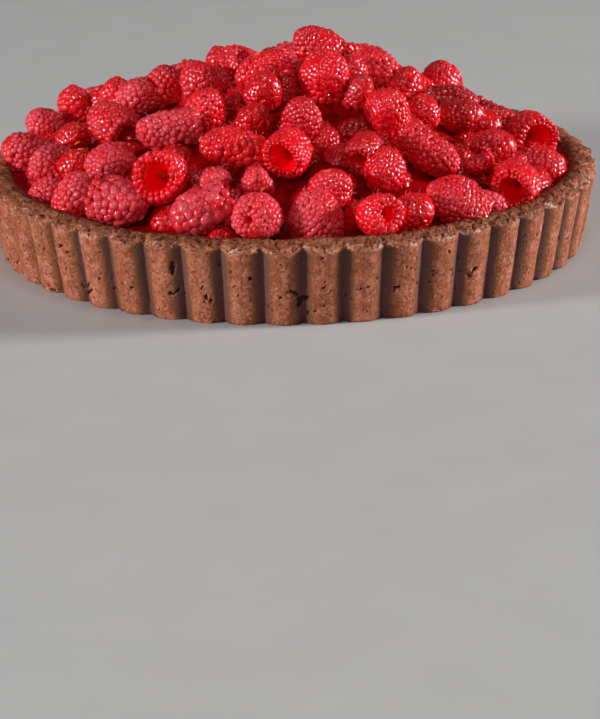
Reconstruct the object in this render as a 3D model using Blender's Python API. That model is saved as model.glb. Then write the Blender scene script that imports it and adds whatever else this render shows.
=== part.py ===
"""A whole raspberry tart: a fluted chocolate pastry shell heaped with raspberries.

Lengths are metres and +Z is up. The origin is the middle of the shell's flat underside, and the
front of the tart faces -Y. The tart is uncut, so the shell and the heap fill it between them.
"""

import math
import random

import bmesh
import bpy

MM = 0.001

# Pastry shell, baked in a 24 cm fluted tin
FLUTES = 48
FLUTE_STEPS = 6  # points along each flute
FIRST_GROOVE = math.radians(2.2)  # from the front towards +X
BASE_RADIUS = 115.0 * MM  # over the crowns of the flutes
EDGE_RADIUS = 120.6 * MM  # the same, at the rim's outer edge
BASE_FLUTE_DEPTH = 3.4 * MM
EDGE_FLUTE_DEPTH = 4.2 * MM
EDGE_HEIGHT = 30.2 * MM
EDGE_ROUNDING = 1.2 * MM
CREST_RADIUS = 113.4 * MM
CREST_HEIGHT = 32.2 * MM
CREST_WAVE = 0.5 * MM  # how far the crest rises and falls around the rim
CREST_WAVES = ((3, 0.7), (7, 2.1), (13, 0.0))  # waves around the rim, and where each starts
INNER_RADIUS = 110.0 * MM  # at the shoulder inside the crest
SHOULDER_HEIGHT = 31.2 * MM
FLOOR_RADIUS = 105.5 * MM
FLOOR_THICKNESS = 6.0 * MM
INNER_STEPS = 144  # points around the smooth inner wall

# Heap of raspberries
GAP = 0.3 * MM  # between the heap and the shell
FILL_HEIGHT = 28.0 * MM  # where the heap meets the inner wall
HEAP_RINGS = 30
BERRY_RADIUS = 9.8 * MM
BERRY_SPREAD = 0.9 * MM  # how far berry sizes differ
BERRY_SPACING = 19.0 * MM
BERRY_JITTER = 2.2 * MM
CLEAR_OF_LANDMARK = 14.0 * MM
BETWEEN_BERRIES = 4.0 * MM  # how far below their centres the fruit between the berries lies
WALL_SLOPE = 0.8  # its rise from the inner wall
OUTER_BERRIES = 98.5 * MM  # radius of the outermost ring of berries
OUTER_CENTRES = 37.0 * MM  # height of those berries' centres
TOP_CENTRES = 74.5 * MM  # height of the centres at the middle
HEAP_CURVE = 1.12  # 1 is a cone, and more is a dome
HEAP_REACH = 1.15  # how far past the outermost ring the slope goes on
# Fuller places on the heap: across, back, how much higher, and how wide
SHOULDERS = (
    (-66 * MM, 40 * MM, 8 * MM, 36 * MM),
    (30 * MM, 10 * MM, 4 * MM, 30 * MM),
)
# Berries that shape the outline: across, back, how much prouder than their neighbours, and radius
LANDMARKS = (
    (12 * MM, 12 * MM, 1.2 * MM, 10.6 * MM),  # the peak
    (13 * MM, -18 * MM, 0.0 * MM, 11.2 * MM),
    (37 * MM, -34 * MM, 0.0 * MM, 10.9 * MM),
    (61 * MM, 32 * MM, 4.0 * MM, 9.6 * MM),
    (-27 * MM, 28 * MM, 1.0 * MM, 9.4 * MM),
    (-33 * MM, -8 * MM, 0.0 * MM, 10.2 * MM),
    (-99 * MM, 26 * MM, 0.0 * MM, 9.0 * MM),
    (-99 * MM, -4 * MM, 0.5 * MM, 9.0 * MM),
    (96 * MM, 12 * MM, 0.0 * MM, 10.4 * MM),
    (86 * MM, -48 * MM, -1.0 * MM, 10.4 * MM),
    (62 * MM, -77 * MM, -1.0 * MM, 10.4 * MM),
    (9 * MM, -98 * MM, 0.0 * MM, 10.8 * MM),
    (-11 * MM, -97 * MM, 0.0 * MM, 10.0 * MM),
    (-34 * MM, -92 * MM, 0.0 * MM, 10.4 * MM),
    (-65 * MM, -74 * MM, 0.0 * MM, 10.6 * MM),
    (-48 * MM, -70 * MM, 0.0 * MM, 11.0 * MM),
)

PASTRY_COLOUR = (0.262, 0.091, 0.053)
PASTRY_ROUGHNESS = 0.75
PASTRY_CREASE = 40  # degrees between faces, above which an edge looks sharp
FRUIT_COLOUR = (0.429, 0.006, 0.021)
FRUIT_ROUGHNESS = 0.35
FRUIT_CREASE = 50


def on_circle(radius, angle, height):
    """A point at an angle from the front, which is -Y, towards +X."""
    return (radius * math.sin(angle), -radius * math.cos(angle), height)


def fluted_radius(angle, crown_radius, depth):
    """The outline of arcs that meet in sharp grooves."""
    pitch = 2 * math.pi / FLUTES
    along = ((angle - FIRST_GROOVE) / pitch) % 1.0
    half_width = crown_radius * pitch / 2
    arc_radius = (half_width**2 + depth**2) / (2 * depth)
    off_crown = (2 * along - 1) * half_width
    return crown_radius - arc_radius + math.sqrt(arc_radius**2 - off_crown**2)


def crest_rise(angle):
    """Slow rise and fall of a hand-pressed rim."""
    waves = sum(math.sin(count * angle + start) for count, start in CREST_WAVES)
    return CREST_WAVE * waves / len(CREST_WAVES)


def add_ring(bm, count, start, radius_at, height_at):
    """Vertices of a closed ring, from a radius and a height at each angle."""
    ring = []
    for step in range(count):
        angle = start + 2 * math.pi * step / count
        ring.append(bm.verts.new(on_circle(radius_at(angle), angle, height_at(angle))))
    return ring


def join_rings(bm, lower, upper):
    """Faces between two rings, where the lower has a whole number of points for each upper one."""
    share = len(lower) // len(upper)
    for i, top in enumerate(upper):
        next_top = upper[(i + 1) % len(upper)]
        fan = [lower[(i * share + k) % len(lower)] for k in range(share + 1)]
        if share == 1:
            bm.faces.new((fan[0], fan[1], next_top, top))
            continue
        half = (share + 1) // 2
        for k in range(share):
            bm.faces.new((fan[k], fan[k + 1], top if k < half else next_top))
        bm.faces.new((fan[half], next_top, top))


def make_material(name, colour, roughness):
    """A Principled material of one colour."""
    material = bpy.data.materials.new(name)
    material.use_nodes = True
    shader = material.node_tree.nodes["Principled BSDF"]
    shader.inputs["Base Color"].default_value = (*colour, 1.0)
    shader.inputs["Roughness"].default_value = roughness
    shader.inputs["Metallic"].default_value = 0.0
    return material


def add_object(name, bm, material, sharp_angle):
    """Turns a finished mesh into a named object with its faces pointing out."""
    bmesh.ops.recalc_face_normals(bm, faces=bm.faces)
    mesh = bpy.data.meshes.new(name)
    bm.to_mesh(mesh)
    bm.free()
    mesh.shade_smooth()
    mesh.set_sharp_from_angle(angle=math.radians(sharp_angle))
    mesh.materials.append(material)
    made = bpy.data.objects.new(name, mesh)
    bpy.context.collection.objects.link(made)
    return made


def build_shell():
    """The pastry case: floor, fluted wall and rounded rim in one solid."""
    bm = bmesh.new()
    outer = FLUTES * FLUTE_STEPS

    def fluted(crown_radius, depth, height, wave):
        return add_ring(
            bm,
            outer,
            FIRST_GROOVE,
            lambda angle: fluted_radius(angle, crown_radius, depth),
            lambda angle: height + wave * crest_rise(angle),
        )

    def smooth(radius, height, wave):
        return add_ring(
            bm,
            INNER_STEPS,
            FIRST_GROOVE,
            lambda angle: radius,
            lambda angle: height + wave * crest_rise(angle),
        )

    underside = fluted(BASE_RADIUS, BASE_FLUTE_DEPTH, 0.0, 0.0)
    edge_low = fluted(EDGE_RADIUS, EDGE_FLUTE_DEPTH, EDGE_HEIGHT - EDGE_ROUNDING, 1.0)
    edge_high = fluted(EDGE_RADIUS - EDGE_ROUNDING, EDGE_FLUTE_DEPTH, EDGE_HEIGHT, 1.0)
    crest = smooth(CREST_RADIUS, CREST_HEIGHT, 1.0)
    shoulder = smooth(INNER_RADIUS, SHOULDER_HEIGHT, 1.0)
    corner = smooth(FLOOR_RADIUS, FLOOR_THICKNESS, 0.0)
    join_rings(bm, underside, edge_low)
    join_rings(bm, edge_low, edge_high)
    join_rings(bm, edge_high, crest)
    join_rings(bm, crest, shoulder)
    join_rings(bm, shoulder, corner)
    bm.faces.new(corner)
    bm.faces.new(reversed(underside))
    bmesh.ops.triangulate(bm, faces=bm.faces[:])
    pastry = make_material("chocolate_pastry", PASTRY_COLOUR, PASTRY_ROUGHNESS)
    return add_object("pastry_shell", bm, pastry, PASTRY_CREASE)


def centre_height(x, y):
    """The surface that the top layer of berries' centres lie on."""
    out = min(math.hypot(x, y) / OUTER_BERRIES, HEAP_REACH)
    height = OUTER_CENTRES + (TOP_CENTRES - OUTER_CENTRES) * (1 - out**HEAP_CURVE)
    for across, back, rise, width in SHOULDERS:
        squared = (x - across) ** 2 + (y - back) ** 2
        height += rise * math.exp(-squared / (2 * width**2))
    return height


def lay_berries():
    """The berries as (x, y, height of centre, radius): the landmarks, then rings between them."""
    rng = random.Random(7)
    berries = [
        (x, y, centre_height(x, y) + prouder, radius) for x, y, prouder, radius in LANDMARKS
    ]
    ring_radius = OUTER_BERRIES
    turn = 0.0
    while ring_radius > 0:
        count = max(int(2 * math.pi * ring_radius / BERRY_SPACING), 1)
        turn += 0.5
        for i in range(count):
            angle = 2 * math.pi * (i + turn) / count
            x, y, _ = on_circle(ring_radius, angle, 0.0)
            x += rng.uniform(-BERRY_JITTER, BERRY_JITTER)
            y += rng.uniform(-BERRY_JITTER, BERRY_JITTER)
            radius = BERRY_RADIUS + rng.uniform(-BERRY_SPREAD, BERRY_SPREAD)
            lift = rng.uniform(-BERRY_JITTER, BERRY_JITTER) / 2
            near = min(math.hypot(x - a, y - b) for a, b, _, _ in LANDMARKS)
            if near > CLEAR_OF_LANDMARK:
                berries.append((x, y, centre_height(x, y) + lift, radius))
        ring_radius -= BERRY_SPACING * math.sqrt(3) / 2
    return berries


def heap_height(x, y, berries, wall_radius):
    """The top of the heap: the highest berry above a point, or the fruit between the berries."""
    from_wall = FILL_HEIGHT + WALL_SLOPE * (wall_radius - math.hypot(x, y))
    height = max(FILL_HEIGHT, min(centre_height(x, y) - BETWEEN_BERRIES, from_wall))
    for across, back, centre, radius in berries:
        squared = (x - across) ** 2 + (y - back) ** 2
        if squared < radius**2:
            height = max(height, centre + math.sqrt(radius**2 - squared))
    return height


def inner_wall_radius(height):
    """The shell's inner wall leans outwards from its floor to its shoulder."""
    up = (height - FLOOR_THICKNESS) / (SHOULDER_HEIGHT - FLOOR_THICKNESS)
    return FLOOR_RADIUS + up * (INNER_RADIUS - FLOOR_RADIUS)


def build_heap():
    """The berries as one solid, from the shell's floor up to their uneven outline."""
    bm = bmesh.new()
    berries = lay_berries()
    wall_radius = inner_wall_radius(FILL_HEIGHT) - GAP
    top = heap_height(0.0, 0.0, berries, wall_radius)
    rings = [[bm.verts.new((0.0, 0.0, top))]]
    for k in range(1, HEAP_RINGS + 1):
        radius = wall_radius * k / HEAP_RINGS
        ring = []
        for step in range(6 * k):
            x, y, _ = on_circle(radius, math.pi * step / (3 * k), 0.0)
            height = FILL_HEIGHT
            if k < HEAP_RINGS:
                height = heap_height(x, y, berries, wall_radius)
            ring.append(bm.verts.new((x, y, height)))
        inside = rings[-1]
        for sector in range(6):
            for step in range(k):
                first = ring[sector * k + step]
                second = ring[(sector * k + step + 1) % (6 * k)]
                inner = inside[(sector * (k - 1) + step) % len(inside)]
                bm.faces.new((first, second, inner))
                if step < k - 1:
                    following = inside[(sector * (k - 1) + step + 1) % len(inside)]
                    bm.faces.new((second, following, inner))
        rings.append(ring)
    corner_height = FLOOR_THICKNESS + GAP
    corner_radius = inner_wall_radius(corner_height) - GAP
    corner = []
    for step in range(6 * HEAP_RINGS):
        angle = math.pi * step / (3 * HEAP_RINGS)
        corner.append(bm.verts.new(on_circle(corner_radius, angle, corner_height)))
    join_rings(bm, corner, rings[-1])
    bm.faces.new(corner)
    bmesh.ops.triangulate(bm, faces=bm.faces[:])
    fruit = make_material("raspberry", FRUIT_COLOUR, FRUIT_ROUGHNESS)
    return add_object("raspberry_heap", bm, fruit, FRUIT_CREASE)


def main():
    """Clears the scene and builds the tart."""
    for old in list(bpy.data.objects):
        bpy.data.objects.remove(old)
    build_shell()
    build_heap()


main()
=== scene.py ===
"""Looks of a raspberry tart: a fluted chocolate shell, heaped with glazed raspberries.

Lengths are metres in the frame's own axes: +Z is up, and the front of the tart faces -Y.
"""

import math
from collections import namedtuple

import bpy
import numpy as np
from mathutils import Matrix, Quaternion, Vector, noise


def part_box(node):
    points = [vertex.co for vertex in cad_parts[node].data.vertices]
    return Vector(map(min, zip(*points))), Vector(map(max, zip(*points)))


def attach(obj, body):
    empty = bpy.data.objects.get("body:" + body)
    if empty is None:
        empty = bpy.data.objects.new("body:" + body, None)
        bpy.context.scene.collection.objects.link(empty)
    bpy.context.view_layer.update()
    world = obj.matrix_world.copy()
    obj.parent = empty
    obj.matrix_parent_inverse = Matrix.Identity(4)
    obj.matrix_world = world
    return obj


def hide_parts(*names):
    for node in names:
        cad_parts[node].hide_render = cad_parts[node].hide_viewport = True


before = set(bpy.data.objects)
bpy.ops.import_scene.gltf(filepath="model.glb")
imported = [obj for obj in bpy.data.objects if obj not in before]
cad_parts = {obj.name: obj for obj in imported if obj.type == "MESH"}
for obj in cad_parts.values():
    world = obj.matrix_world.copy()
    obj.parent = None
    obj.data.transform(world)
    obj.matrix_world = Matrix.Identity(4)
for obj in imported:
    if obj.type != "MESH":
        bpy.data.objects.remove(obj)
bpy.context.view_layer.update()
_, SHELL_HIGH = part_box("pastry_shell")
HEAP_LOW, HEAP_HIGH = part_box("raspberry_heap")
MM = 0.001
TINY = 1e-6  # keeps a division from 0

# Camera, in the photograph's pixels where it says so
PHOTO_WIDTH = 600
PHOTO_HEIGHT = 719
FOCAL_PIXELS = 3500.0
SENSOR = 36.0  # millimetres, along the longer side
CAMERA_DISTANCE = 1.394
CAMERA_ELEVATION = math.radians(16.71)
CAMERA_LEAN = math.radians(0.95)
BASE_CENTRE_PIXEL = (292.0, 235.8)
PIXEL = CAMERA_DISTANCE / FOCAL_PIXELS  # metres that one shows at the tart
RAY_REACH = 0.13  # how far from the camera's distance a ray is searched
RAY_STEPS = 2081

# Pastry shell
FLUTES = 48
FIRST_GROOVE = math.radians(2.2)  # from the front
FLUTE_STEPS = 28
EDGE_RADIUS = SHELL_HIGH.x + 0.05 * MM
BASE_RADIUS = EDGE_RADIUS - 5.6 * MM
EDGE_FLUTE_DEPTH = 4.2 * MM
BASE_FLUTE_DEPTH = 3.4 * MM
LEAST_FLUTE_DEPTH = 0.05 * MM  # a row with less is round
EDGE_HEIGHT = 30.2 * MM
EDGE_ROUNDING = 1.2 * MM
CREST_HEIGHT = 32.2 * MM
CREST_RADIUS = 113.4 * MM
SHOULDER_HEIGHT = 31.2 * MM
SHOULDER_RADIUS = 110.0 * MM
FLOOR_RADIUS = 105.5 * MM
FLOOR_HEIGHT = HEAP_LOW.z - 0.3 * MM
WORN_SIDE = math.radians(-80)  # where the flutes are worn and crumbly, from the front
WORN_REACH = (math.radians(12), math.radians(30))  # from there, whole and none
WORN_DEPTH = 0.55  # of the flutes' depth is lost there
CREST_WAVE = 0.5 * MM
CREST_WAVES = ((3, 0.7), (7, 2.1), (13, 0.0))  # how many around, and where each starts

# Rows of the shell's points, from the underside over the rim to the floor
UNDERSIDE_RADIUS = 60 * MM
FOOT_INSETS = (4.0 * MM, 1.2 * MM, 0.4 * MM)  # from the base's edge
WALL_SHARES = np.linspace(0.014, 0.955, 40)
EDGE_ANGLES = np.radians((20, 45, 68, 90))
CREST_SHARES = np.linspace(0.1, 1.0, 10)
SHOULDER_SHARES = np.linspace(0.25, 1.0, 4)
INNER_SHARES = (0.06, 0.14, 1.0)

# The crumb's relief: its broad, middle and fine grain, and how many millimetres each moves
GRAINS = (90.0, 330.0, 900.0)
RELIEF = (
    (0.30, 0.14, 0.10),  # everywhere
    (0.0, 0.40, 0.35),  # what the rim adds
    (0.0, 0.25, 0.0),  # what the foot adds
    (0.0, 0.10, 0.15),  # what the worn side adds
    (0.0, 0.70, 0.70),  # what the worn side's foot adds
)
RIM_LIFT = (0.5, 0.9, 0.9)  # the same for the rim's height
CHIP_GRAIN = (0.0, 1.0, 0.4)  # shares of the three
CHIP_LIMITS = (0.35, 0.60)  # of that grain, where a chip starts and is whole
CHIPS = (0.9, 0.7, 0.8)  # millimetres off the foot and the rim, and off the rim's height
OUTER_SIDE = (101 * MM, 108 * MM)
RIM_BAND = (EDGE_HEIGHT - 2.2 * MM, EDGE_HEIGHT)
RIM_TOP = (EDGE_HEIGHT + 0.1 * MM, EDGE_HEIGHT + 0.9 * MM)
FOOT_BAND = (0.5 * MM, 3.0 * MM)
LIFTED = (0.0, 4 * MM)
GROOVE_SHADE_SPAN = (-98 * MM, -55 * MM)  # from left to right the painted groove shade deepens, as the flutes turn away from the left lamp
LEFT_GROOVE_SHADE = 0.4  # of the painted groove shade is left at the left

# Pits and cracks in the wall that the photograph shows: middle, length and width in its pixels,
# and turn in degrees from the right towards the top
Crack = namedtuple("Crack", "across down length width turn")
CRACKS = (
    (172, 268, 13, 5, 88), (171, 294, 7, 3, -15), (177, 291, 6, 2.5, 40), (83, 286, 6, 2.5, -50),
    (90, 291, 7, 2.5, 35), (88, 285, 5, 2, 60), (131, 288, 4, 3, 10), (206, 297, 5, 3, -60),
    (211, 301, 4, 3.5, 40), (202, 288, 4, 1.8, 70), (294, 293, 9, 3, -25), (303, 298, 12, 4, 8),
    (300, 302, 11, 4.5, 65), (397, 287, 7, 2, 10), (395, 290, 4, 2, 80), (449, 252, 3, 3, 0),
    (474, 270, 8, 2.5, 50), (469, 275, 5, 2, -30), (235, 287, 2, 2, 0), (238, 296, 2, 2, 0),
    (250, 279, 3, 2.2, 0), (281, 298, 3, 2.4, 0), (308, 313, 2, 3, 90), (324, 306, 2, 2, 0),
    (323, 259, 2, 2, 0), (361, 289, 2, 2.2, 0), (368, 287, 2, 2, 0), (377, 278, 2, 1.8, 0),
    (60, 246, 4, 2.5, 0), (67, 252, 3, 2, 0), (53, 290, 6, 3, -20), (8, 262, 6, 4, -60),
)
CRACK_REACH = 9 * MM  # around its middle
CRACK_FRAY = 0.30 * MM
CRACK_GRAIN = 1500.0
CRACK_EDGE = (0.5, 1.15)  # of half its width
SHORTEST_CRACK = 0.1  # pixels between its two round ends
PIT_GROUPS = 48  # all around the wall
PIT_COUNTS = (1, 5)  # in a group, from the first up to below the second
PIT_HEIGHTS = (3.0, 28.0)  # millimetres
PIT_SPREAD = 2.0 * MM
PIT_SIZES = (0.24 * MM, 0.48 * MM)
PIT_SQUASH = (0.5, 1.3)
PIT_EDGE = (0.4, 1.1)  # of its size
PIT_REACH = 2.0
INNERMOST_PIT = CREST_RADIUS - 1 * MM
PIT_DEPTH = 0.9 * MM
LEAST_PIT = 0.28  # of a pit: only the material's small holes show
HOLED_MIDDLE = -10 * MM
HOLED_SIDES = (62 * MM, 92 * MM)  # from that middle

# Heap: the surface that the top berries' centres lie on
OUTER_BERRIES = 98.5 * MM
OUTER_CENTRES = 37.0 * MM
TOP_CENTRES = HEAP_HIGH.z - 10.4 * MM
HEAP_CURVE = 1.12
HEAP_REACH = 1.15
# Rises of the heap: how far across and back they lie, their height and their width
SHOULDERS = ((-66 * MM, 40 * MM, 8 * MM, 36 * MM), (30 * MM, 10 * MM, 4 * MM, 30 * MM))
WALL_GAP = 2 * MM  # how far outside the outer berries a seen one may lie at no cost
OUTSIDE_COST = 3
# Behind its crest the heap is lower than the even mound, so that it stays below the outline
CREST = (8.0 * MM, 20.0 * MM)
DIP_STEP = 5.0 * MM
DIP_PLACES = np.arange(-24, 25) * DIP_STEP
DIP_RADIUS = 10.5 * MM
DIP_ROUNDS = 2
DIP_EVENING = np.array((1, 2, 3, 2, 1)) / 9
LAST_DIP = len(DIP_PLACES) - 1.001  # just inside the last step

# A berry that the photograph shows. across and down are its middle in the photograph's pixels;
# width, length and bead (one drupelet) are millimetres; turn is where its tip points in the
# picture, in degrees from the right towards the top; toward is how far the tip leans to the
# viewer, so at -90 its opening faces the viewer; hollow is the opening's radius in millimetres.
Seen = namedtuple("Seen", "across down width length turn toward bead kind hollow", defaults=(5.0,))
SEEN = (
    (14, 174, 16, 17, 200, 20, 2.8, "deep"), (22, 152, 17, 19, 160, 30, 2.7, "frosted"),
    (49, 167, 16.5, 18, 190, 50, 2.8, "frosted"), (45, 195, 13.5, 15, 200, 30, 2.5, "frosted"),
    (76, 196, 17.5, 19, 75, 25, 2.9, "frosted"), (122, 204, 19, 21, -12, 15, 3.7, "frosted"),
    (164, 178, 22, 20, 20, -76, 3.6, "bright", 5.6), (197, 214, 18.5, 22, 205, 20, 4.6, "frosted"),
    (260, 217, 18.5, 19, 10, -68, 2.8, "frosted", 1.5),
    (316, 216, 21.5, 20, 95, 25, 2.7, "frosted"), (376, 216, 18, 17, 180, -58, 3.1, "bright", 3),
    (413, 212, 17, 18, 30, 30, 3, "deep"), (455, 201, 19, 24, 145, 10, 2.6, "bright"),
    (490, 205, 10, 14, -12, 5, 2.4, "frosted"), (517, 183, 20.5, 20, 35, -66, 2.8, "bright", 5.2),
    (547, 168, 15, 17, -30, 20, 2.8, "bright"), (525, 135, 20, 19, 140, -62, 2.8, "bright", 5.8),
    (476, 166, 9.5, 10, 200, 20, 2.4, "bright"), (497, 148, 17, 17, 10, 10, 3, "deep"),
    (432, 154, 17.5, 25, -35, 12, 3, "ripe"), (384, 173, 17.5, 18, 250, 55, 2.6, "bright"),
    (331, 189, 17, 18, 60, 30, 2.8, "ripe"), (256, 184, 14, 14, 100, 60, 3, "frosted"),
    (215, 185, 14, 14, 60, 60, 3.2, "frosted"), (229, 149, 18, 23, 165, 10, 3.4, "ripe"),
    (290, 151, 19.5, 19, 50, -54, 2.8, "bright", 5.4), (301, 118, 17, 18, 80, 40, 2.7, "ripe"),
    (254, 120, 15, 16, 80, 50, 3.4, "deep"), (166, 132, 16.5, 24, 185, 15, 3, "frosted"),
    (111, 124, 19, 20, 140, -32, 2.8, "ripe", 4.6), (107, 165, 16, 17, 200, 40, 2.7, "frosted"),
    (44, 125, 14.5, 15, 150, 40, 2.4, "frosted"), (76, 106, 17.5, 18, 120, 30, 3.4, "bright"),
    (74, 138, 15, 15, 60, 40, 2.8, "deep"), (77, 164, 14, 14, 40, 30, 2.8, "deep"),
    (118, 97, 16, 17, 100, 20, 3, "ripe"), (142, 96, 16, 17, 20, 30, 2.8, "frosted"),
    (165, 85, 16, 16, 90, 30, 2.8, "ripe"), (203, 84, 19, 20, 140, 45, 3, "ripe"),
    (207, 108, 16, 17, 60, 30, 2.8, "bright"), (222, 66, 15, 17, 110, 20, 3, "bright"),
    (260, 72, 15.5, 22, 200, 10, 2.8, "ripe"), (265, 90, 16, 16, 60, 40, 2.8, "deep"),
    (317, 48, 18, 22, 150, 12, 3, "bright"), (324, 76, 22, 22, 75, 40, 2.9, "bright"),
    (352, 70, 14, 14, 90, 30, 2.7, "deep"), (379, 71, 15.5, 18, -20, 20, 2.7, "ripe"),
    (405, 84, 15, 15, 60, 20, 2.7, "bright"), (386, 113, 20.5, 21, 100, 55, 2.5, "bright"),
    (425, 113, 13.5, 14, -45, 30, 2.5, "bright"), (441, 82, 17.5, 18, 100, 38, 2.8, "bright"),
    (455, 101, 14, 20, 0, 10, 2.8, "deep"), (462, 117, 15, 19, 0, 20, 2.8, "deep"),
    (486, 124, 14, 15, -20, 20, 2.8, "deep"), (502, 122, 14, 15, -20, 10, 2.8, "deep"),
    (366, 149, 15.5, 16, 60, -42, 2.7, "deep", 3.6), (360, 89, 13.5, 13.5, 60, 30, 2.8, "deep"),
)
OPENING_LIFT = 4.0 * MM  # how much nearer a berry with a visible opening lies
# Deep gaps between the berries: across and down in pixels
GAPS = (
    (146, 222), (228, 222), (232, 196), (237, 100), (275, 112), (290, 226), (335, 130), (337, 152),
    (346, 222), (398, 147), (418, 186),
)
GAP_RADIUS = 10.0 * MM
# The top of the heap against the background, from the left: across and down in pixels
OUTLINE = (
    (0, 152), (20, 133), (30, 116), (45, 105), (60, 94), (75, 84), (90, 80), (135, 78), (150, 68),
    (165, 64), (178, 70), (195, 64), (203, 56), (215, 45), (232, 46), (238, 52), (280, 49),
    (288, 38), (300, 27), (316, 23), (332, 30), (345, 42), (352, 47), (380, 52), (396, 58),
    (408, 68), (425, 61), (450, 61), (462, 74), (470, 95), (500, 106), (530, 107), (545, 113),
    (557, 124), (560, 140), (600, 160),
)
OUTLINE_SHARES = np.linspace(-0.9, 0.9, 13)  # of a berry's half width, where it is compared
OUTLINE_ROOM = 1.5 * MM  # that a berry keeps from it
# Bare seeds: across and down in pixels, and where each points in degrees
PIPS = (
    (24, 141, 10), (69, 153, -60), (87, 163, 10), (85, 174, 30), (77, 143, 25), (82, 147, -10),
    (143, 217, 50), (130, 155, -40), (118, 180, 10), (259, 55, 70), (303, 46, 25), (328, 172, 0),
    (200, 141, 60), (323, 164, 0), (352, 166, 5), (261, 190, 60), (467, 152, 80),
)
PIP_SIZE = (1.40 * MM, 0.60 * MM, 0.50 * MM)

# Berries that the photograph doesn't show
SPACING = 9.0 * MM  # between the rings and places that are tried
JITTER = 2.0 * MM
WIDTHS = (17.0 * MM, 20.5 * MM)
BEADS = (2.7 * MM, 3.5 * MM)
LENGTHS = (0.98, 1.18)  # in widths, as the hollows are
HOLLOWS = (0.18, 0.25)
TIP_SIDES = (1, 1, 1, -1)  # one tip in four points into the heap
TIP_SPREAD = 0.9
CLEARANCE = 0.80  # of two berries' half widths together
UNDER_CLEARANCE = 0.72
UNDER_SUNK = 11.0 * MM  # how far below the top layer the berries in its gaps lie
SEEN_REACH = 18.0 * MM  # how far back the photograph shows the heap
FEWEST_BEADS = 6  # a berry that shows fewer is left out
SEED = 5

# How all berries differ
FROST_SPREAD = 0.04
SHADES = (0.85, 1.12)
BLUNTNESS = (1.7, 2.6)
BENDS = (-0.28, 0.28)
SQUASHES = ((0.90, 1.05), (0.93, 1.07))
SWELLS = ((2, 0.035), (3, 0.03))  # how many waves around a berry, and how far they swell it
WIDEST = 0.34  # where along a berry it is widest, from its opening
WIDEST_MOUTH = 0.88
MOUTH_CURVE = 2.4

# Juicy fruit under the berries
CORE_SUNK = 7.0 * MM
CORE_SLOPE = 0.7
CORE_RINGS = 90
CORE_SIDES = 260
CORE_START = 0.02  # rings from the middle to the first one
CORE_GRAINS = ((2.4, 80.0), (0.8, 260.0))  # millimetres, and the noise's scale
CORE_EDGE = 7 * MM
CORE_FOOT = 0.99 * FLOOR_RADIUS
JUICE_HEIGHT = 30.0 * MM  # where the juice meets the shell
JUICE_WAVE = 0.5 * MM
JUICE_WAVES = ((9, 0.0), (5, 1.0))  # how many around, and where each starts
WALL_RADIUS = FLOOR_RADIUS + (SHOULDER_RADIUS - FLOOR_RADIUS) * (JUICE_HEIGHT - FLOOR_HEIGHT) / (
    SHOULDER_HEIGHT - FLOOR_HEIGHT
)

# Beads of a berry, in beads unless it says so
FINE_BEAD = (8, (28, 52, 76, 100))  # sides, and the rings' angles from the pole in degrees
COARSE_BEAD = (6, (36, 68, 100))
FINE_FROM = 3.6 * MM  # the least bead that gets more sides
BEAD_AREA = 0.80  # of the berry's surface, for each bead's width squared
BEAD_COUNT = 12  # at least
BEAD_UNEVEN = 0.22  # how far the beads' sizes differ
BEAD_HEIGHT = 0.50
BEAD_INSET = 0.42
BEAD_LEAN = 0.10  # radians
BEAD_STRETCH = (0.94, 1.16)
BEAD_DENTS = 0.035
OVERLAP = 1.24
PROFILE_STEPS = 241
PUSHES = 20  # rounds in which neighbours push each other apart
PUSH = 0.35
MOST_TURN = 0.5  # radians in a round
SCATTER = 0.25  # radians around, and beads along
SIDE_START = 0.45
TIP_GAP = 0.02
LEAST_RADIUS = 0.15
GOLDEN_TURN = math.pi * (3 - math.sqrt(5))
TIP_WAY = np.array((0.0, 0.0, 1.0))
BODY_INSET = 0.36
BODY_SIDES = 16
BODY_SHARES = (0.06, 0.18, 0.34, 0.52, 0.68, 0.82, 0.93)
LEAST_BODY = 0.1
# The cavity from its end outwards: shares of the opening's radius and of the berry's length
CAVITY = ((0.0, 0.55), (0.25, 0.50), (0.48, 0.40), (0.70, 0.27), (0.88, 0.15), (1.0, 0.07), (1.10, 0.045))
DEEP_ROWS = 2  # of the cavity: from its end, its painted shade changes into painted glow over these
MOUTH_BEADS = 0.74  # width of the long beads around an opening
LIP_BEADS = 0.60  # width of the small beads inside them
LIP_OUT = 0.30
LIP_REACH = 0.40
RING_OVERLAP = 0.1
RING_TURN = 0.16  # of the room for a bead
RING_SHIFT = 0.06
RING_HEIGHT = (0.30, 0.1)  # and how far it differs
RING_SIZES = (0.88, 1.12)
RING_HALF = (0.64, 0.52)  # across, and in height
MOUTH_LEAN = math.radians(170)  # from the tip's way
MOUTH_ROOM = 1.35  # beads between an opening and where the side begins
GLAZE_SCALE = 110.0
GLAZE_FADE = 0.45
GLAZE_SINK = 0.50  # of a bead's height is lost under the juice

# Which beads are made
LOOK_ELEVATIONS = (5, 22, 48)  # degrees; from these and from straight above, beads are looked for
LOOK_AROUND = 10
FEWEST_WAYS = 2  # a bead that fewer ways reach is left out
LEAST_FACING = -0.25  # cosine between a bead's way out and the way of looking
HIDING_REACH = 60 * MM
HIDING_SIZE = 0.90  # of a berry's size hides what is behind it
CORE_COVER = 0.5 * MM

# Hairs
HAIR_COUNTS = (7, 15)  # on a berry
HAIR_LENGTHS = (1.6, 3.8)  # millimetres
HAIR_BENDS = (0.4, 1.6)
HAIR_SHADES = (0.8, 1.2)
HAIR_STEPS = 4
HAIR_SIDES = 3
HAIR_RADIUS = 0.065 * MM
HAIR_TAPER = 0.6
HAIR_CLIMB = 0.7
HAIR_ROOT = 0.2 * MM
HAIR_CLEARANCE = 3.5 * MM  # above the juice
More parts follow.
